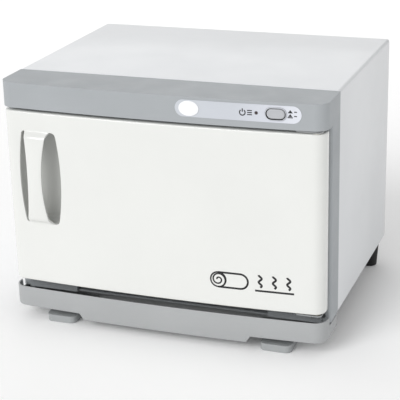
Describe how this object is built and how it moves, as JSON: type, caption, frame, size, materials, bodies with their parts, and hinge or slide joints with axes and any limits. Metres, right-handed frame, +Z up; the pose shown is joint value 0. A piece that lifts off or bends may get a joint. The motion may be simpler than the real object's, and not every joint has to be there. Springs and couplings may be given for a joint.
{
  "type": "hot towel cabinet",
  "caption": "Countertop box cabinet with a bowed side-hinged door, inset pull grip, control fascia, push button, slide-out drip tray, low feet and a heated metal chamber with wire racks.",
  "frame": {"origin": "on the floor plane under the middle of the closed outline box", "axes": "+X to the user's right when facing the door, +Y to the rear, +Z up"},
  "size_m": [0.45, 0.3765, 0.345],
  "materials": {
    "case_paint": "fine satin powder coat, pale grey-white",
    "frame_grey": "fine-textured blue-grey ABS",
    "door_white": "glossy warm white ABS",
    "cup_grey": "satin mid grey ABS",
    "panel_label": "silver-white printed film",
    "badge_white": "domed clear-coated white badge",
    "button_grey": "satin grey ABS",
    "bezel_dark": "satin dark grey ABS",
    "lamp_lens": "dark translucent red lens, unlit",
    "black_plastic": "black moulded plastic",
    "chamber_alu": "brushed aluminium sheet",
    "zinc_steel": "zinc-plated steel",
    "wire_steel": "polished stainless wire",
    "glass_wool": "yellow glass wool",
    "foam": "rigid cream foam board",
    "heater_orange": "orange silicone heater mat",
    "ceramic_white": "white ceramic and nylon",
    "wire_red": "red insulated leads",
    "inner_panel": "white coated steel sheet",
    "gasket_grey": "soft grey silicone",
    "foot_rubber": "black rubber",
    "foot_grey": "satin blue-grey ABS",
    "tray_grey": "fine-textured pale grey ABS"
  },
  "bodies": {
    "cabinet": {"outer_shell": "case_paint", "rear_panel": "zinc_steel", "base_plate": "zinc_steel", "front_frame": "frame_grey", "control_panel": "panel_label", "badge": "badge_white", "indicator_lamp": "lamp_lens", "button_bezel": "bezel_dark", "switch_body": "black_plastic", "chamber_liner": "chamber_alu", "insulation_wrap": "glass_wool", "heater_mat": "heater_orange", "thermostat": "zinc_steel", "thermal_fuse": "ceramic_white", "terminal_block": "ceramic_white", "wiring": "wire_red", "power_inlet": "black_plastic", "inlet_pins": "zinc_steel", "rack_supports": "chamber_alu", "wire_rack_lower": "wire_steel", "wire_rack_upper": "wire_steel", "hinge_bracket_upper": "zinc_steel", "hinge_bracket_lower": "zinc_steel", "hinge_pin_upper": "zinc_steel", "hinge_pin_lower": "zinc_steel", "magnet_catch": "black_plastic", "front_foot_left": "foot_grey", "front_foot_right": "foot_grey", "rear_foot_left": "foot_rubber", "rear_foot_right": "foot_rubber", "tray_rails": "frame_grey", "case_screws": "zinc_steel", "frame_screws": "zinc_steel", "foot_screws": "zinc_steel", "hinge_screws": "zinc_steel", "inlet_screws": "zinc_steel"},
    "door": {"door_front": "door_white", "handle_cup": "cup_grey", "door_inner_panel": "inner_panel", "door_insulation": "foam", "door_gasket": "gasket_grey", "hinge_bush_upper": "ceramic_white", "hinge_bush_lower": "ceramic_white", "catch_plate": "zinc_steel", "door_screws": "zinc_steel"},
    "tray": {"drip_tray": "tray_grey"},
    "button": {"power_button": "button_grey"}
  },
  "joints": [
    {"name": "door_hinge", "type": "hinge", "parent": "cabinet", "child": "door", "pos_m": [0.211, -0.16315, 0.183], "axis": [0, 0, 1], "range_deg": [0, 110]},
    {"name": "tray_slide", "type": "slide", "parent": "cabinet", "child": "tray", "axis": [0, -1, 0], "range_m": [0, 0.09]},
    {"name": "power_button_press", "type": "slide", "parent": "cabinet", "child": "button", "axis": [-0.051, 0.9987, 0], "range_m": [0, 0.0025], "stiffness_N_per_m": 400, "springref_m": -0.002}
  ]
}
